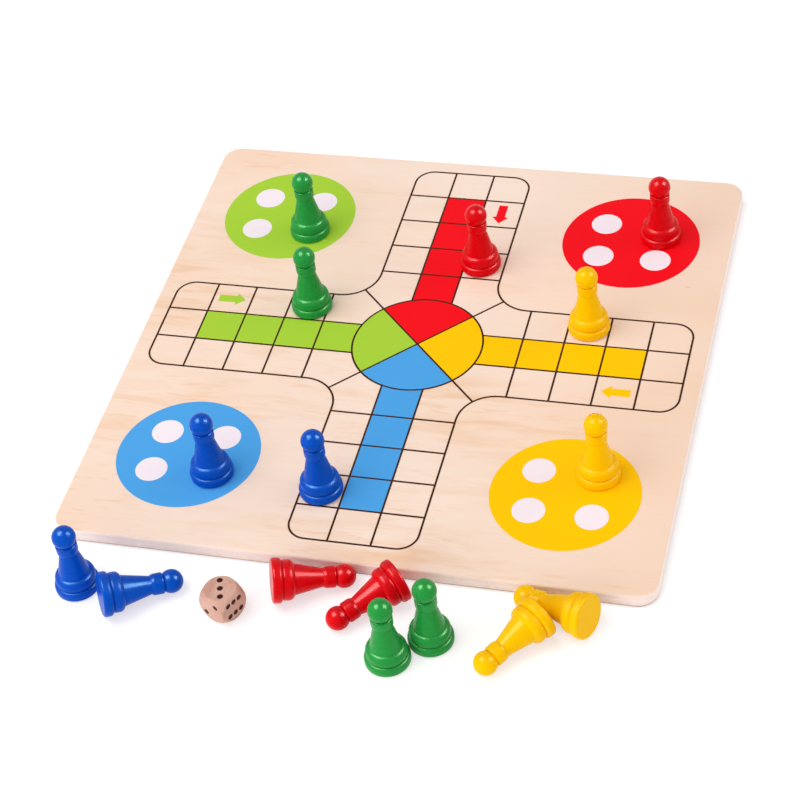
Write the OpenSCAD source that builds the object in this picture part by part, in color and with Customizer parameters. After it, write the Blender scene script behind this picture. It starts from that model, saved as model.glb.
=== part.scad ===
// Wooden ludo set: a square plywood board with a printed track, sixteen turned pawns and a die.
// Sizes are in millimetres. The origin is on the board's underside, below the middle of the track,
// and +Z is up.
// The red arm of the track runs towards +Y, the yellow +X, the blue -Y and the green -X.

/* [Board] */
// Side of one square of the track
cell_pitch = 21.65; // [18:0.05:26]
// Bare wood between the ends of the track and the board's rear and side edges
board_margin = 9.3; // [5:0.1:30]
// Bare wood between the end of the track and the board's front edge
front_margin = 12; // [5:0.1:30]
// Radius of the board's four corners
corner_radius = 10; // [4:0.5:25]
// Thickness of one wood ply
ply_thickness = 1.5; // [1.2:0.1:3]
// Radius of the eased edges round the top and the underside
edge_ease = 1; // [0.3:0.1:1.1]

/* [Print] */
// Thickness of a coat of ink
ink_film = 0.1; // [0.05:0.01:0.3]
// Width of the dark lines
line_width = 1; // [0.4:0.1:1.5]
// Radius of the outer corners of the track's arms
arm_corner_radius = 10; // [3:0.5:15]
// Radius of the inner corners where two arms meet
inner_corner_radius = 19; // [10:0.5:21]
// Radius of the four-colour circle in the middle
centre_radius = 34.4; // [26:0.2:42]
// From the ends of the side arms in to the middle of a home disc
home_inset_x = 44.4; // [38:0.1:50]
// From the ends of the front and rear arms in to the middle of a home disc
home_inset_y = 47; // [38:0.1:50]
// Radius of a home disc
home_radius = 36.9; // [31:0.1:44]
// Radius of a white waiting spot
spot_radius = 8.2; // [5:0.1:10]
// Half the distance between waiting spots from side to side
spot_offset_x = 15.4; // [12:0.1:18]
// Half the distance between waiting spots from front to rear
spot_offset_y = 13.3; // [11:0.1:16]
// Length of a start arrow
arrow_length = 15; // [10:0.1:17]
// Width of an arrow's shaft
arrow_shaft_w = 4.9; // [2:0.1:7]
// Length of an arrow's head
arrow_head_l = 5.2; // [3:0.1:8]
// Width of an arrow's head
arrow_head_w = 9; // [7.5:0.1:14]

/* [Pawn] */
// Height of a pawn
pawn_height = 40.4; // [36:0.1:50]
// Diameter of the base bead
base_d = 21.8; // [20:0.1:27]
// Height of the base bead
base_h = 5; // [4:0.1:6.5]
// Radius of the base bead's lower edge
base_low_round = 1.2; // [0.3:0.1:2]
// Radius of the base bead's upper edge
base_top_round = 1.8; // [0.5:0.1:2.5]
// Diameter of the second bead
bead_d = 19.6; // [17.5:0.1:20]
// Height of the second bead
bead_h = 5.9; // [5:0.1:7]
// Radius of the second bead's lower edge
bead_low_round = 1.8; // [0.8:0.1:2.2]
// How far the second bead's lower edge is let down into the round of the base
bead_overlap = 0.5; // [0.3:0.05:0.8]
// Radius of the second bead's shoulder
bead_shoulder = 3; // [1:0.1:3.3]
// Diameter of the body cone where it meets the shoulder
cone_foot_d = 15.2; // [12:0.1:16]
// Diameter of the body cone under the collar
cone_top_d = 9; // [8:0.1:10]
// Diameter of the collar at its fullest
collar_d = 10.5; // [10:0.1:12]
// Height of the collar from the cone up to the neck
collar_h = 6.2; // [5:0.1:8]
// Radius of the curve that draws the collar in towards the cone
collar_low_round = 3.4; // [2:0.1:4]
// Radius of the collar's upper edge
collar_top_round = 0.8; // [0.3:0.1:1.5]
// Diameter of the neck between the collar and the head
neck_d = 8.4; // [7:0.1:9]
// Diameter of the ball head
head_d = 11.6; // [10:0.1:14]
// Room under a pawn for it to slide over the ink
slide_gap = 0.02; // [0.01:0.01:0.05]

/* [Die] */
// Side of the die
die_side = 16; // [15:0.5:20]
// How much of each corner's reach is rounded off
die_corner_cut = 2.8; // [1.5:0.1:3.4]
// Distance between neighbouring pips
pip_pitch = 3.6; // [3.2:0.1:3.8]
// Radius of a pip
pip_radius = 1.5; // [0.8:0.1:1.7]
// Depth of the recess drilled for a pip
pip_depth = 0.35; // [0.2:0.05:0.8]
// Thickness of the paint in a recess
pip_coat = 0.15; // [0.05:0.05:0.2]
// Room round the paint in its recess
pip_fit = 0.02; // [0.01:0.01:0.05]

/* [Loose pieces] */
// Room between two pieces that lie together
loose_gap = 0.5; // [0.3:0.1:3]
// Room between the board's front edge and a piece that lies against it
board_gap = 0.8; // [0.5:0.1:10]
// The die: right of the board's middle, and out from its front edge
die_place = [-50, -31.5]; // [-140:0.5:140]
// Turn of the die seen from above
die_turn = -27; // [-90:1:90]
// Red pawn that lies near the die
red_a_place = [-29, -19.5]; // [-140:0.5:140]
// Way that its head points
red_a_heading = 22; // [-180:1:180]
// Red pawn that lies with its base against the board, right of the board's middle
red_b_x = 31; // [20:0.5:60]
// Way that its head points
red_b_heading = -136; // [-160:1:-110]
// Yellow pawn that lies with its head against the board, right of the board's middle
yellow_a_x = 122.5; // [60:0.5:140]
// Way that its head points
yellow_a_heading = 160; // [150:1:170]
// Side of that pawn where the other yellow one lies
yellow_b_side = 184; // [180:1:200]
// Way that the other one's head points
yellow_b_heading = -126; // [-140:1:-110]
// Blue pawn that stands by the board's corner
blue_a_place = [-126, -27.5]; // [-140:0.5:140]
// Side of that pawn where the other blue one lies
blue_b_side = -36; // [-180:1:180]
// Way that the other one's head points
blue_b_heading = 32; // [-180:1:180]
// Green pawn that stands furthest from the board
green_a_place = [34, -48]; // [-140:0.5:140]
// Side of that pawn where the other green one stands
green_b_side = 40; // [-180:1:180]

/* [Hidden] */
$fn = 96;
squares_across = 13;
lane_squares = [2, 3, 4, 5];
quarter_turns = [0, 90, 180, 270];
signs = [-1, 1];

arm_half_width = 1.5 * cell_pitch;
arm_end = squares_across * cell_pitch / 2;
board_width = 2 * (arm_end + board_margin);
board_front = arm_end + front_margin;
board_depth = arm_end + board_margin + board_front;
ply_count = 5;
board_top = ply_count * ply_thickness;
half_line = line_width / 2;
home_x = arm_end - home_inset_x;
home_y = arm_end - home_inset_y;

// Each player: name, colour, turn of the arm and corner of the home disc,
// waiting spot that a pawn has and how far it stands off the middle,
// square of the track that a pawn has and how far it stands off the middle
players = [
    ["red", "#d3122b", 90, [1, 1], [1, 1], [0, -7.5], [1, 3], [-2, 0.5]],
    ["yellow", "#f7c300", 0, [1, -1], [1, 1], [-1.6, 0.9], [4, 1], [0, 2]],
    ["blue", "#0b4fc4", 270, [-1, -1], [1, -1], [1.2, 1.4], [-1, -5], [-0.5, -0.5]],
    ["green", "#1f9a4a", 180, [-1, 1], [1, -1], [0, 1], [-3, 1], [2, -0.5]]
];
red_player = players[0];
yellow_player = players[1];
blue_player = players[2];
green_player = players[3];

// Heights along a pawn
base_r = base_d / 2;
head_r = head_d / 2;
shoulder_z = base_h + bead_h;
head_z = pawn_height - head_r;
neck_z = head_z - sqrt(pow(head_r, 2) - pow(neck_d / 2, 2));
cone_top_z = neck_z - collar_h;
collar_drawn_in = collar_low_round - (collar_d - cone_top_d) / 2;
collar_in_cone = collar_low_round - sqrt(pow(collar_low_round, 2) - pow(collar_drawn_in, 2));

// A lying pawn touches the table with the upper edge of its base bead and with its head
rim_r = base_r - base_top_round;
rim_to_head = head_z - base_h + base_top_round;
lying_tilt = acos((head_r - base_top_round) / norm([rim_r, rim_to_head])) - atan2(rim_to_head, rim_r);
lying_base_z = head_r + head_z * sin(lying_tilt);
standing = "standing";

function home_centre(corner) = [corner.x * home_x, corner.y * home_y];
function spot_offset(spot) = [spot.x * spot_offset_x, spot.y * spot_offset_y];
function before_board(place) = place - [0, board_front];
function beside(place, side) = place + (base_d + loose_gap) * [cos(side), sin(side)];
function base_reach(heading) = board_gap + base_r * abs(cos(heading));
function head_reach(heading) = board_gap + head_r + head_z * cos(lying_tilt) * sin(heading);
function on_board(place) = [place.x, place.y, board_top + ink_film + slide_gap];
function on_table(place, heading) = [place.x, place.y, heading == standing ? 0 : lying_base_z];

yellow_a_place = [yellow_a_x, -head_reach(yellow_a_heading)];

// Each pawn: node, colour, place of its base and the way its head points
board_pawns = [
    for (player = players)
        each [
            [str(player[0], "_home_pawn"), player[1],
                on_board(home_centre(player[3]) + spot_offset(player[4]) + player[5]), standing],
            [str(player[0], "_track_pawn"), player[1],
                on_board(cell_pitch * player[6] + player[7]), standing]
        ]
];
loose_spots = [
    [red_player, "a", red_a_place, red_a_heading],
    [red_player, "b", [red_b_x, -base_reach(red_b_heading)], red_b_heading],
    [yellow_player, "a", yellow_a_place, yellow_a_heading],
    [yellow_player, "b", beside(yellow_a_place, yellow_b_side), yellow_b_heading],
    [blue_player, "a", blue_a_place, standing],
    [blue_player, "b", beside(blue_a_place, blue_b_side), blue_b_heading],
    [green_player, "a", green_a_place, standing],
    [green_player, "b", beside(green_a_place, green_b_side), standing]
];
loose_pawns = [
    for (spot = loose_spots)
        [str(spot[0][0], "_loose_pawn_", spot[1]), spot[0][1],
            on_table(before_board(spot[2]), spot[3]), spot[3]]
];
pawns = concat(board_pawns, loose_pawns);

// Each face of the die: number of pips, tilt of the face and turn of its pips
die_faces = [
    [3, [0, 0, 0], 0],
    [4, [180, 0, 0], 0],
    [2, [90, 0, 0], 90],
    [5, [-90, 0, 0], 0],
    [6, [0, 90, 0], 0],
    [1, [0, -90, 0], 0]
];
die_ball_r = sqrt(3) * die_side / 2 - die_corner_cut;

// Rectangle with round corners
module rounded_rectangle(length, width, radius) {
    square([length, width - 2 * radius], center = true);
    square([length - 2 * radius, width], center = true);
    for (x = signs, y = signs)
        translate([x * (length / 2 - radius), y * (width / 2 - radius)])
            circle(radius);
}

// Section through the rim of an outer ply, measured out from the corner's centre
module eased_rim() {
    flat_end = corner_radius - edge_ease;
    rim_top = ply_thickness - edge_ease;
    square([flat_end, ply_thickness]);
    square([corner_radius, rim_top]);
    translate([flat_end, rim_top])
        intersection() {
            circle(edge_ease);
            square(edge_ease);
        }
}

// Puts a board's ply in place: its middle lies a little in front of the middle of the track
module at_level(level) {
    translate([0, board_depth / 2 - board_front, level * ply_thickness])
        children();
}

// Ply whose upper edge is eased all round
module eased_ply() {
    reach = [board_width / 2 - corner_radius, board_depth / 2 - corner_radius];
    linear_extrude(ply_thickness)
        square(2 * reach, center = true);
    for (turn = quarter_turns) {
        ahead = turn % 180 == 0 ? reach.x : reach.y;
        aside = turn % 180 == 0 ? reach.y : reach.x;
        rotate(turn) {
            translate([ahead, 0, 0])
                rotate([90, 0, 0])
                    linear_extrude(2 * aside, center = true)
                        eased_rim();
            translate([ahead, aside, 0])
                rotate_extrude(angle = 90)
                    eased_rim();
        }
    }
}

module inner_ply() {
    linear_extrude(ply_thickness)
        rounded_rectangle(board_width, board_depth, corner_radius);
}

module face_veneer() {
    color("#f3dcc0")
        at_level(4)
            eased_ply();
}

module upper_crossband() {
    color("#d9bd9c")
        at_level(3)
            inner_ply();
}

module core_ply() {
    color("#ecd8c0")
        at_level(2)
            inner_ply();
}

module lower_crossband() {
    color("#d9bd9c")
        at_level(1)
            inner_ply();
}

module back_veneer() {
    color("#f0dac0")
        at_level(1)
            mirror([0, 0, 1])
                eased_ply();
}

// Whole area of the cross-shaped track, grown all round
module track_area(grow) {
    half_width = arm_half_width + grow;
    inner_radius = inner_corner_radius - grow;
    for (turn = [0, 90])
        rotate(turn)
            rounded_rectangle(2 * (arm_end + grow), 2 * half_width, arm_corner_radius + grow);
    for (turn = quarter_turns)
        rotate(turn)
            translate([half_width, half_width])
                difference() {
                    square(inner_radius);
                    translate([inner_radius, inner_radius])
                        circle(inner_radius);
                }
}

// Lines within one arm: along its lanes, between its squares and from the middle to an inner corner
module arm_lines() {
    lane_start = sqrt(pow(centre_radius, 2) - pow(cell_pitch / 2, 2));
    diagonal = sqrt(2) * (arm_half_width + inner_corner_radius) - inner_corner_radius;
    for (side = signs)
        translate([lane_start, side * cell_pitch / 2 - half_line])
            square([arm_end - lane_start, line_width]);
    for (cell = lane_squares)
        translate([(cell + 0.5) * cell_pitch - half_line, -arm_half_width])
            square([line_width, 2 * arm_half_width]);
    rotate(45)
        translate([0, -half_line])
            square([diagonal, line_width]);
}

module ink(colour) {
    color(colour)
        translate([0, 0, board_top])
            linear_extrude(ink_film)
                children();
}

module track_line_print() {
    ink("#3a2216") {
        difference() {
            track_area(half_line);
            track_area(-half_line);
        }
        difference() {
            circle(centre_radius + half_line);
            circle(centre_radius - half_line);
        }
        for (turn = quarter_turns)
            rotate(turn)
                arm_lines();
    }
}

// Arrow that points along +X, about its middle
module arrow() {
    head_x = arrow_length / 2 - arrow_head_l;
    translate([-arrow_length / 2, -arrow_shaft_w / 2])
        square([arrow_length - arrow_head_l, arrow_shaft_w]);
    polygon([[head_x, -arrow_head_w / 2], [arrow_length / 2, 0], [head_x, arrow_head_w / 2]]);
}

// One player's colour: home disc, quarter of the circle, home lane and start arrow
module player_print(player, colour) {
    filled = cell_pitch - line_width;
    ink(colour) {
        translate(home_centre(player[3]))
            difference() {
                circle(home_radius);
                for (x = signs, y = signs)
                    translate(spot_offset([x, y]))
                        circle(spot_radius);
            }
        rotate(player[2]) {
            intersection() {
                circle(centre_radius - half_line);
                translate([sqrt(2) * half_line, 0])
                    rotate(-45)
                        square(centre_radius);
            }
            difference() {
                for (cell = lane_squares)
                    translate([cell * cell_pitch, 0])
                        square(filled, center = true);
                circle(centre_radius + half_line);
            }
            translate([5 * cell_pitch, -cell_pitch])
                rotate(180)
                    arrow();
        }
    }
}

module red_print() {
    player_print(red_player, "#f5232b");
}

module yellow_print() {
    player_print(yellow_player, "#fcc400");
}

module blue_print() {
    player_print(blue_player, "#4f9fe3");
}

module green_print() {
    player_print(green_player, "#a2d03e");
}

module white_spot_print() {
    ink("#f6eef4")
        for (player = players, x = signs, y = signs)
            translate(home_centre(player[3]) + spot_offset([x, y]))
                circle(spot_radius);
}

// Half section of a turned bead with round edges
module bead_section(radius, height, low_round, top_round) {
    intersection() {
        square([radius, height]);
        union() {
            polygon([[0, 0], [radius - low_round, 0], [radius, low_round],
                [radius, height - top_round], [radius - top_round, height], [0, height]]);
            translate([radius - low_round, low_round])
                circle(low_round);
            translate([radius - top_round, height - top_round])
                circle(top_round);
        }
    }
}

// Half section of a pawn from its base up to its ball head
module pawn_section() {
    bead_section(base_r, base_h, base_low_round, base_top_round);
    translate([0, base_h - bead_overlap])
        bead_section(bead_d / 2, bead_h + bead_overlap, bead_low_round, bead_shoulder);
    polygon([[0, base_h], [cone_foot_d / 2, base_h], [cone_foot_d / 2, shoulder_z],
        [cone_top_d / 2, cone_top_z], [0, cone_top_z]]);
    translate([0, cone_top_z - collar_in_cone])
        bead_section(collar_d / 2, collar_h + collar_in_cone, collar_low_round, collar_top_round);
    intersection() {
        translate([0, head_z])
            circle(head_r);
        square([head_d, pawn_height]);
    }
}

module pawn(colour, place, heading) {
    lying = heading != standing;
    color(colour)
        translate(place)
            rotate(lying ? [0, 90 + lying_tilt, heading] : [0, 0, 0])
                rotate_extrude()
                    pawn_section();
}

// Places of a face's pips, in steps of the pip pitch
function pip_places(count) = concat(
    count % 2 == 1 ? [[0, 0]] : [],
    count > 1 ? [[-1, 1], [1, -1]] : [],
    count > 3 ? [[-1, -1], [1, 1]] : [],
    count == 6 ? [[-1, 0], [1, 0]] : []
);

// A round plug at every pip, standing on the floor of its recess
module at_pips(radius, height) {
    for (face = die_faces)
        rotate(face[1])
            rotate(face[2])
                for (place = pip_places(face[0]))
                    translate([place.x * pip_pitch, place.y * pip_pitch, die_side / 2 - pip_depth])
                        cylinder(height, radius, radius);
}

module lay_die() {
    spot = before_board(die_place);
    translate([spot.x, spot.y, die_side / 2])
        rotate(die_turn)
            children();
}

module die() {
    color("#cfa88c")
        lay_die()
            difference() {
                intersection() {
                    cube(die_side, center = true);
                    sphere(die_ball_r);
                }
                at_pips(pip_radius, die_side);
            }
}

module die_pips() {
    color("#3b221b")
        lay_die()
            at_pips(pip_radius - pip_fit, pip_coat);
}

face_veneer();
upper_crossband();
core_ply();
lower_crossband();
back_veneer();
track_line_print();
red_print();
yellow_print();
blue_print();
green_print();
white_spot_print();
for (piece = pawns)
    pawn(piece[1], piece[2], piece[3]);
die();
die_pips();
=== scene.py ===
"""Wooden ludo set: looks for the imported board, its printed track, the turned pawns and the die."""
import math

import bpy
import numpy as np
from mathutils import Matrix, Vector

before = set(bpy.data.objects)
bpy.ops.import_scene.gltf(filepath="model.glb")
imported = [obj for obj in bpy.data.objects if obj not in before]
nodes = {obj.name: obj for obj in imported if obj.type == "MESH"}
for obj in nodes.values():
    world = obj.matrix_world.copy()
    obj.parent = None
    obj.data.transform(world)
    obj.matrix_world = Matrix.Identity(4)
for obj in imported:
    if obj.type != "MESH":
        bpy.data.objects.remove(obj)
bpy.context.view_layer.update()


# Inner plies
# Three sheets of poplar, 1.5 mm each, glued with their grain crossed. Only their sawn and sanded
# edges show round the board: long grain on two sides and end grain on the other two.
poplar_band = (14, 420)  # streaks per metre along and across the grain
poplar_fibre = (90, 2600)
poplar_roughness = (0.6, 0.78)
poplar_gloss = 0.3
fibre_shade = 0.9
saw_depth = 0.00005
noise_span = (0.3, 0.7)  # nearly all of a noise's values lie in here


def srgb(red, green, blue):
    """Linear colour of a paint or wood named by its 0 to 255 screen values."""
    return [((c / 255 + 0.055) / 1.055) ** 2.4 if c > 10 else c / 255 / 12.92
            for c in (red, green, blue)] + [1.0]


def add(tree, kind, inputs=None, **settings):
    """A node whose inputs are constants or the sockets that feed them."""
    made = tree.nodes.new(kind)
    for name, value in settings.items():
        setattr(made, name, value)
    for name, value in (inputs or {}).items():
        if isinstance(value, bpy.types.NodeSocket):
            tree.links.new(value, made.inputs[name])
        else:
            made.inputs[name].default_value = value
    return made


def blank_finish(name):
    """An empty material with a shader that reaches its output."""
    finish = bpy.data.materials.new(name)
    finish.use_nodes = True
    tree = finish.node_tree
    tree.nodes.clear()
    shader = add(tree, "ShaderNodeBsdfPrincipled")
    add(tree, "ShaderNodeOutputMaterial", {"Surface": shader.outputs[0]})
    return finish, tree, shader


def blend_colour(tree, share, first, second):
    """The first colour with a share of the second laid over it."""
    mixed = add(tree, "ShaderNodeMix", {0: share, 6: first, 7: second}, data_type="RGBA")
    return mixed.outputs[2]


def ramp(tree, value, start, end, first=0.0, last=1.0):
    """First up to the start, last from the end on, and an even slope between them."""
    slope = add(tree, "ShaderNodeMapRange", {"Value": value, "From Min": start, "From Max": end,
                                             "To Min": first, "To Max": last})
    return slope.outputs[0]


def along_grain(tree, along, across, grain="x"):
    """Object coordinates in metres, stretched along the grain (x or y)."""
    place = add(tree, "ShaderNodeTexCoord").outputs["Object"]
    scale = (along, across, across) if grain == "x" else (across, along, across)
    return add(tree, "ShaderNodeMapping", {"Vector": place, "Scale": scale}).outputs[0]


def noise(tree, vector, detail, distortion=0.0, scale=1.0):
    """Soft random spots, each about one step of the scaled vector wide."""
    return add(tree, "ShaderNodeTexNoise", {"Vector": vector, "Scale": scale, "Detail": detail,
                                            "Distortion": distortion}).outputs["Fac"]


def coat(tree, shader, colour, roughness, gloss):
    """Colour and roughness from their nodes, and one gloss all over."""
    tree.links.new(colour, shader.inputs["Base Color"])
    tree.links.new(roughness, shader.inputs["Roughness"])
    shader.inputs["Specular IOR Level"].default_value = gloss


def relief(tree, shader, height, strength, depth):
    """Fine grooves and swellings in the surface."""
    bump = add(tree, "ShaderNodeBump", {"Strength": strength, "Distance": depth, "Height": height})
    tree.links.new(bump.outputs[0], shader.inputs["Normal"])
    return bump


def dress(node, finish):
    """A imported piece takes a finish."""
    nodes[node].data.materials.clear()
    nodes[node].data.materials.append(finish)


def ply_edge(name, pale, shade, grain):
    """Sawn and sanded edge of a poplar ply, streaked along its grain."""
    finish, tree, shader = blank_finish(name)
    band = noise(tree, along_grain(tree, *poplar_band, grain), detail=3.0)
    fibre = noise(tree, along_grain(tree, *poplar_fibre, grain), detail=2.0)
    wood = blend_colour(tree, ramp(tree, band, start=0.35, end=0.7), srgb(*pale), srgb(*shade))
    wood = blend_colour(tree, ramp(tree, fibre, start=0.5, end=0.75, last=0.25), wood,
                        srgb(*[fibre_shade * c for c in shade]))
    coat(tree, shader, wood, ramp(tree, fibre, *noise_span, *poplar_roughness), poplar_gloss)
    relief(tree, shader, fibre, strength=0.25, depth=saw_depth)
    return finish


crossband_edge = ply_edge("poplar_end_grain", pale=(248, 230, 223), shade=(241, 219, 211),
                          grain="y")
core_edge = ply_edge("poplar_long_grain", pale=(249, 235, 230), shade=(244, 226, 220), grain="x")
dress("upper_crossband", crossband_edge)
dress("lower_crossband", crossband_edge)
dress("core_ply", core_edge)


# Face and back veneers
# Two outer plies of pale birch, peeled from the log, sanded and given a thin matt varnish. Each is
# paler across its middle and more figured at the front left; the lower rim has a painted shadow.
birch_cloud = (7, 17)  # per metre along and across the grain, as are the next five
birch_patch = (6, 13)
birch_flame = (20, 105)
birch_fleck = (62, 430)
birch_fibre = (60, 1700)
birch_pit = (60, 260)
rare_cells = (0.93, 0.95)  # only a cell whose random value is this high holds a pit
sapwood_middle = 0.02
sapwood_reach = 0.13
sapwood_share = 0.75
sapwood_wander = 0.06
warm_from, warm_to = 0.01, 0.15
warm_share = 0.30
figured_side = 0.20
figure_slant = 0.85
front_left_figure = 0.11
rear_right_figure = -0.19
least_figure = 0.1
rim_start = 0.00005
rim_fade = 0.0004
birch_roughness = (0.46, 0.60)
birch_gloss = 0.2
veneer_depth = 0.00004


def reckon(tree, operation, *values):
    """One sum on sockets and numbers."""
    return add(tree, "ShaderNodeMath", dict(enumerate(values)), operation=operation).outputs[0]


def birch_veneer(name, pale, warm, flame, pit, sapwood, rim, rim_low, rim_high):
    """Peeled birch with clouds, flames, flecks and pits, and a rim of another tone, painted shadow
    on the back.
    """
    finish, tree, shader = blank_finish(name)
    cloud = noise(tree, along_grain(tree, *birch_cloud), detail=2.0, distortion=0.5)
    patch = noise(tree, along_grain(tree, *birch_patch), detail=2.0, distortion=0.3)
    lick = noise(tree, along_grain(tree, *birch_flame), detail=3.5, distortion=0.7)
    fleck = noise(tree, along_grain(tree, *birch_fleck), detail=2.0, distortion=0.5)
    fibre = noise(tree, along_grain(tree, *birch_fibre), detail=3.0)
    holes = add(tree, "ShaderNodeTexVoronoi",
                {"Vector": along_grain(tree, *birch_pit), "Scale": 1.0}).outputs
    place = add(tree, "ShaderNodeSeparateXYZ",
                {0: add(tree, "ShaderNodeTexCoord").outputs["Object"]}).outputs

    # Clouds, the sapwood band and the warmer right side
    wood = blend_colour(tree, ramp(tree, cloud, start=0.36, end=0.64), srgb(*pale), srgb(*warm))
    from_middle = reckon(tree, "SUBTRACT", place["X"], sapwood_middle)
    wander = ramp(tree, patch, *noise_span, first=-sapwood_wander, last=sapwood_wander)
    off_band = reckon(tree, "ABSOLUTE", reckon(tree, "ADD", wander, from_middle))
    wood = blend_colour(tree, ramp(tree, off_band, start=0.0, end=sapwood_reach,
                                   first=sapwood_share, last=0.0), wood, srgb(*sapwood))
    wood = blend_colour(tree, ramp(tree, place["X"], warm_from, warm_to, last=warm_share), wood,
                        srgb(*flame))

    # Flames and flecks, more of them towards the front left
    slant = reckon(tree, "MULTIPLY_ADD", place["Y"], figure_slant, place["X"])
    lean = ramp(tree, slant, -figured_side, figured_side, front_left_figure, rear_right_figure)
    flamed = ramp(tree, reckon(tree, "ADD", patch, lean), start=0.42, end=0.62, first=least_figure)
    flecked = ramp(tree, reckon(tree, "ADD", cloud, lean), start=0.42, end=0.64,
                   first=least_figure)
    flames = reckon(tree, "MULTIPLY", ramp(tree, lick, start=0.48, end=0.70, last=0.80), flamed)
    flecks = reckon(tree, "MULTIPLY", ramp(tree, fleck, start=0.56, end=0.72, last=0.7), flecked)
    for share in (flames, flecks, ramp(tree, fibre, start=0.48, end=0.78, last=0.10)):
        wood = blend_colour(tree, share, wood, srgb(*flame))

    # Pits and the rim: the edge's own tone on the face, a painted shadow along the back's lower edge
    pits = reckon(tree, "MULTIPLY", ramp(tree, holes["Color"], *rare_cells),
                  ramp(tree, holes["Distance"], start=0.04, end=0.12, first=0.6, last=0.0))
    wood = blend_colour(tree, pits, wood, srgb(*pit))
    rim_tone_and_shadow_band = reckon(tree, "MULTIPLY",
                      ramp(tree, place["Z"], rim_low, rim_low + rim_start, last=0.8),
                      ramp(tree, place["Z"], rim_high - rim_fade, rim_high, first=1.0, last=0.0))
    wood = blend_colour(tree, rim_tone_and_shadow_band, wood, srgb(*rim))
    coat(tree, shader, wood, ramp(tree, fibre, *noise_span, *birch_roughness), birch_gloss)
    relief(tree, shader, fibre, strength=0.2, depth=veneer_depth)
    return finish


dress("face_veneer", birch_veneer(
    "birch_face", pale=(246, 221, 204), warm=(245, 214, 191), flame=(236, 195, 160),
    pit=(176, 128, 92), sapwood=(247, 226, 211), rim=(248, 229, 221),
    rim_low=0.0059, rim_high=0.00745))
# The back veneer's rim colour is painted shadow: a dark band along the lower edge, where the board
# stands on the table.
dress("back_veneer", birch_veneer(
    "birch_back", pale=(246, 220, 200), warm=(243, 210, 184), flame=(228, 184, 148),
    pit=(166, 116, 80), sapwood=(247, 223, 205), rim=(128, 100, 90),
    rim_low=0.00001, rim_high=0.0012))


# Printed track
# Coats of screen ink on the face veneer: dark brown lines, four bright colours and white spots.
# The ink is thin, so the wood's fibres still show in its surface.
ink_cover = (120, 240)  # per metre along and across the grain
ink_speck = (90, 150)
ink_roughness = (0.42, 0.54)
ink_gloss = 0.06
bare_wood = (247, 214, 190)
inks = {  # film: name, full coat, thin coat, strength of the pinholes
    "track_line_print": ("line_ink", (62, 32, 14), (94, 56, 32), 0.0),
    "red_print": ("red_ink", (244, 12, 27), (241, 30, 38), 0.45),
    "yellow_print": ("yellow_ink", (255, 198, 0), (254, 202, 14), 0.35),
    "blue_print": ("blue_ink", (76, 162, 228), (90, 169, 228), 0.35),
    "green_print": ("green_ink", (166, 207, 58), (174, 209, 74), 0.35),
    "white_spot_print": ("white_ink", (245, 232, 239), (244, 227, 229), 0.25),
}


def screen_ink(name, colour, thin_colour, pinhole):
    """A thin film of ink with a few pinholes down to the wood."""
    finish, tree, shader = blank_finish(name)
    fibre = noise(tree, along_grain(tree, *birch_fibre), detail=3.0)
    cover = noise(tree, along_grain(tree, *ink_cover), detail=3.0)
    specks = add(tree, "ShaderNodeTexVoronoi",
                 {"Vector": along_grain(tree, *ink_speck), "Scale": 1.0}).outputs
    pinholes = reckon(tree, "MULTIPLY", ramp(tree, specks["Color"], *rare_cells),
                      ramp(tree, specks["Distance"], start=0.04, end=0.10, first=pinhole, last=0.0))
    ink = blend_colour(tree, ramp(tree, cover, start=0.40, end=0.75, last=0.16), srgb(*colour),
                       srgb(*thin_colour))
    ink = blend_colour(tree, ramp(tree, fibre, start=0.55, end=0.80, last=0.10), ink,
                       srgb(*thin_colour))
    ink = blend_colour(tree, pinholes, ink, srgb(*bare_wood))
    coat(tree, shader, ink, ramp(tree, cover, *noise_span, *ink_roughness), ink_gloss)
    relief(tree, shader, fibre, strength=0.15, depth=veneer_depth)
    return finish


for film, ink in inks.items():
    dress(film, screen_ink(*ink))


# Pawns
# Sixteen pawns turned from hardwood rod and dipped in gloss paint, four of each colour.
# Faint rings from the lathe tool run round them under the paint.
pawn_paints = {  # full coat, deep coat, gloss, tint of the gloss, added roughness at the foot
    "red": ((209, 0, 13), (199, 0, 9), 0.20, (1.00, 0.32, 0.32), 0.03),
    "yellow": ((244, 188, 0), (240, 182, 0), 0.08, (1.00, 0.78, 0.36), 0.10),
    "blue": ((0, 73, 182), (0, 65, 168), 0.14, (0.38, 0.76, 1.00), 0.08),
    "green": ((33, 141, 59), (27, 131, 53), 0.25, (0.30, 0.56, 0.30), 0.07),
}
pawn_kinds = ("home_pawn", "track_pawn", "loose_pawn_a", "loose_pawn_b")
paint_pools = 110  # per metre
paint_flow = 240
paint_roughness = (0.23, 0.30)
beads_top, cone_start = 0.008, 0.018
ring_spacing = 0.0018
wave_turn = 20  # radians of the wave for each unit of its scale
ring_depth = 0.00003
flow_depth = 0.0002


def turning_axis(node):
    """Middle of a pawn's base and the way from there to its head."""
    points = np.array([v.co for v in nodes[node].data.vertices])
    middle = points.mean(0)
    axis = np.linalg.eigh(np.cov((points - middle).T))[1][:, 2]
    reach = (points - middle) @ axis
    radius = np.linalg.norm(points - middle - reach[:, None] * axis, axis=1)
    if reach[radius.argmax()] > 0:
        axis = -axis
    return Vector(middle + axis * ((points - middle) @ axis).min()), Vector(axis)


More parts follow.
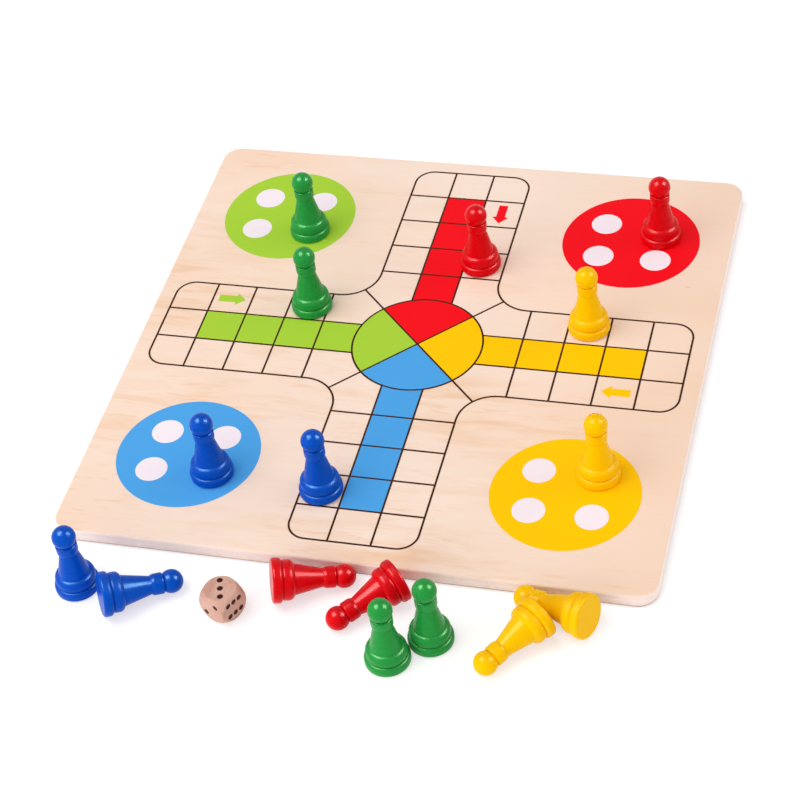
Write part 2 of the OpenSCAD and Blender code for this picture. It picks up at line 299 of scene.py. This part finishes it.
def dipped_paint(node, colour, deep_colour, gloss, gloss_tint, foot_matt):
    """Gloss paint on one pawn, with its rings square to the pawn's own axis."""
    finish, tree, shader = blank_finish(node + "_gloss")
    foot, axis = turning_axis(node)
    turn = axis.rotation_difference(Vector((0, 0, 1))).to_euler()
    place = add(tree, "ShaderNodeTexCoord").outputs["Object"]
    centred = add(tree, "ShaderNodeVectorMath", {0: place, 1: foot}, operation="SUBTRACT")
    own = add(tree, "ShaderNodeVectorRotate", {"Vector": centred.outputs[0], "Rotation": turn},
              rotation_type="EULER_XYZ").outputs[0]
    height = add(tree, "ShaderNodeSeparateXYZ", {0: own}).outputs["Z"]
    pool = noise(tree, own, detail=2.0, scale=paint_pools)
    flow = noise(tree, own, detail=2.0, scale=paint_flow)
    rings = add(tree, "ShaderNodeTexWave",
                {"Vector": own, "Scale": 2 * math.pi / wave_turn / ring_spacing,
                 "Distortion": 0.4, "Detail": 1.0, "Detail Scale": 2.0},
                wave_type="BANDS", bands_direction="Z").outputs["Fac"]
    paint = blend_colour(tree, ramp(tree, pool, start=0.38, end=0.70, last=0.6), srgb(*colour),
                         srgb(*deep_colour))
    roughness = reckon(tree, "ADD", ramp(tree, flow, *noise_span, *paint_roughness),
                       ramp(tree, height, beads_top, cone_start, first=foot_matt, last=0.0))
    coat(tree, shader, paint, roughness, gloss)
    shader.inputs["Specular Tint"].default_value = (*gloss_tint, 1.0)
    ring_bump = add(tree, "ShaderNodeBump", {"Strength": 0.06, "Distance": ring_depth,
                                             "Height": rings})
    flow_bump = relief(tree, shader, flow, strength=0.06, depth=flow_depth)
    tree.links.new(ring_bump.outputs[0], flow_bump.inputs["Normal"])
    return finish


painted_pawns = bpy.data.collections.new("painted_pawns")
for paint_name, paint in pawn_paints.items():
    for kind in pawn_kinds:
        pawn = f"{paint_name}_{kind}"
        dress(pawn, dipped_paint(pawn, *paint))
        painted_pawns.objects.link(nodes[pawn])


# Die
# A 16 mm cube of beech, tumbled until its corners are round, with drilled and painted pips.
# Beech shows short dark flecks along its grain.
beech_tone = (60, 160)  # per metre along and across the grain
beech_fleck = (420, 2400)
beech_roughness = (0.42, 0.58)
beech_gloss = 0.3
beech_depth = 0.00006
pip_grain = 1800  # per metre
pip_roughness = (0.40, 0.60)
pip_gloss = 0.12


def flecked_beech(name, pale, shade, fleck_colour):
    """Beech with its short flecks, tumbled smooth."""
    finish, tree, shader = blank_finish(name)
    tone = noise(tree, along_grain(tree, *beech_tone, "y"), detail=3.0)
    fleck = noise(tree, along_grain(tree, *beech_fleck, "y"), detail=2.0)
    wood = blend_colour(tree, ramp(tree, tone, start=0.35, end=0.7), srgb(*pale), srgb(*shade))
    wood = blend_colour(tree, ramp(tree, fleck, start=0.56, end=0.72, last=0.55), wood,
                        srgb(*fleck_colour))
    coat(tree, shader, wood, ramp(tree, fleck, *noise_span, *beech_roughness), beech_gloss)
    relief(tree, shader, fleck, strength=0.3, depth=beech_depth)
    return finish


def pip_paint(name, colour, thin_colour):
    """Dark paint that is thinner in spots."""
    finish, tree, shader = blank_finish(name)
    place = add(tree, "ShaderNodeTexCoord").outputs["Object"]
    thin = noise(tree, place, detail=3.0, scale=pip_grain)
    paint = blend_colour(tree, ramp(tree, thin, start=0.4, end=0.75, last=0.5), srgb(*colour),
                         srgb(*thin_colour))
    coat(tree, shader, paint, ramp(tree, thin, *noise_span, *pip_roughness), pip_gloss)
    return finish


dress("die", flecked_beech("beech", pale=(209, 166, 149), shade=(191, 144, 126),
                           fleck_colour=(166, 116, 94)))
dress("die_pips", pip_paint("pip_paint", colour=(50, 18, 16), thin_colour=(80, 40, 35)))


# Table
# A wide white sheet under the board and the loose pieces, which keeps their soft shadows.
# Seen directly it is white, and it throws a paler light back on to the pieces.
table_half = 6.0
table_drop = 0.0001
shaded_reach, white_reach = 0.45, 0.95
table_corners = [(x * table_half, y * table_half, -table_drop)
                 for x, y in ((-1, -1), (1, -1), (1, 1), (-1, 1))]
table_mesh = bpy.data.meshes.new("table")
table_mesh.from_pydata(table_corners, [], [(0, 1, 2, 3)])
table = bpy.data.objects.new("table", table_mesh)
bpy.context.scene.collection.objects.link(table)


def seen_ray(tree):
    """1 for a ray that shows the surface or its reflection, 0 for one that lights a piece."""
    ray = add(tree, "ShaderNodeLightPath").outputs
    seen = reckon(tree, "MAXIMUM", ray["Is Camera Ray"], ray["Is Glossy Ray"])
    return reckon(tree, "MAXIMUM", seen, ray["Is Transmission Ray"])


def mix_shaders(tree, share, first, second):
    """The first shader with a share of the second in its place."""
    return add(tree, "ShaderNodeMixShader",
               {0: share, 1: first.outputs[0], 2: second.outputs[0]})


sheet_white = bpy.data.materials.new("sheet_white")
sheet_white.use_nodes = True
sheet_tree = sheet_white.node_tree
sheet_tree.nodes.clear()
sheet_paper = add(sheet_tree, "ShaderNodeBsdfDiffuse", {"Color": (0.90, 0.90, 0.90, 1)})
sheet_shade = add(sheet_tree, "ShaderNodeBsdfDiffuse", {"Color": (0.54, 0.58, 0.56, 1)})
sheet_glow = add(sheet_tree, "ShaderNodeEmission",
                 {"Color": (0.55, 0.515, 0.535, 1), "Strength": 1.0})
sheet_near = add(sheet_tree, "ShaderNodeAddShader",
                 {0: sheet_shade.outputs[0], 1: sheet_glow.outputs[0]})
sheet_far = add(sheet_tree, "ShaderNodeEmission", {"Color": (1, 1, 1, 1), "Strength": 1.0})
sheet_place = add(sheet_tree, "ShaderNodeTexCoord").outputs["Object"]
sheet_reach = add(sheet_tree, "ShaderNodeVectorMath", {0: sheet_place}, operation="LENGTH")
sheet_fade = ramp(sheet_tree, sheet_reach.outputs["Value"], shaded_reach, white_reach)
sheet_seen = mix_shaders(sheet_tree, sheet_fade, sheet_near, sheet_far)
sheet_mix = mix_shaders(sheet_tree, seen_ray(sheet_tree), sheet_paper, sheet_seen)
add(sheet_tree, "ShaderNodeOutputMaterial", {"Surface": sheet_mix.outputs[0]})
table_mesh.materials.append(sheet_white)


# Studio light
# A key box stands high on the left, wide panels low on the left and right and a card in front.
# Two boxes show only in the gloss of the pawns, and a plain pale room lies all round.
def soft_box(name, way, power, size, distance):
    """A soft lamp of so many watts that faces the board's middle from one way."""
    lamp = bpy.data.lights.new(name, "AREA")
    lamp.energy = power
    lamp.shape = "RECTANGLE"
    lamp.size, lamp.size_y = size
    box = bpy.data.objects.new(name, lamp)
    box.location = Vector(way).normalized() * distance
    box.rotation_euler = Vector(way).to_track_quat("Z", "Y").to_euler()
    box.visible_camera = False
    bpy.context.scene.collection.objects.link(box)
    return box


key_box = soft_box("key_box", way=(-0.40, -0.10, 0.90), power=40.5, size=(2.0, 2.0), distance=3.2)
left_panel = soft_box("left_panel", way=(-0.66, -0.71, 0.24), power=63.0, size=(4.0, 2.0),
                      distance=4.0)
right_panel = soft_box("right_panel", way=(0.93, 0.28, 0.24), power=57.0, size=(4.0, 1.8),
                       distance=4.0)
front_card = soft_box("front_card", way=(-0.14, -0.95, 0.27), power=2.1, size=(1.2, 0.4),
                      distance=1.04)
for box in (key_box, left_panel, right_panel, front_card):
    box.visible_glossy = False
left_glint = soft_box("left_glint", way=(-0.42, -0.20, 0.89), power=230.0, size=(1.4, 1.2),
                      distance=2.4)
right_glint = soft_box("right_glint", way=(0.71, 0.17, 0.68), power=200.0, size=(1.1, 1.1),
                       distance=2.4)
for box in (left_glint, right_glint):
    box.visible_diffuse = False
    box.light_linking.receiver_collection = painted_pawns
room = bpy.data.worlds.new("room")
room.use_nodes = True
room_tree = room.node_tree
room_tree.nodes.clear()
room_light = add(room_tree, "ShaderNodeBackground",
                 {"Color": (1.0, 0.99, 0.985, 1), "Strength": 0.545})
room_wall = add(room_tree, "ShaderNodeBackground", {"Color": (1, 1, 1, 1), "Strength": 1.0})
room_mix = mix_shaders(room_tree, seen_ray(room_tree), room_light, room_wall)
add(room_tree, "ShaderNodeOutputWorld", {"Surface": room_mix.outputs[0]})
bpy.context.scene.world = room
bpy.context.scene.view_settings.view_transform = "Standard"


# Camera
# A 100 mm lens held well above the front right corner, looking down at the middle of the board,
# and turned a little about its own axis.
lens_place = Vector((0.2754, -0.8076, 0.7908))
ahead = Vector((-0.24297, 0.67813, -0.69362)).normalized()
tilt = math.radians(-8.306)
level_right = ahead.cross(Vector((0, 0, 1))).normalized()
level_up = level_right.cross(ahead)
right = math.cos(tilt) * level_right + math.sin(tilt) * level_up
up = math.cos(tilt) * level_up - math.sin(tilt) * level_right
lens = bpy.data.cameras.new("camera")
lens.lens = 100.0
lens.sensor_width = 36.0
lens.clip_end = 30.0
camera = bpy.data.objects.new("camera", lens)
lens_turn = Matrix((right, up, -ahead)).transposed().to_4x4()
camera.matrix_world = Matrix.Translation(lens_place) @ lens_turn
bpy.context.scene.collection.objects.link(camera)
bpy.context.scene.camera = camera
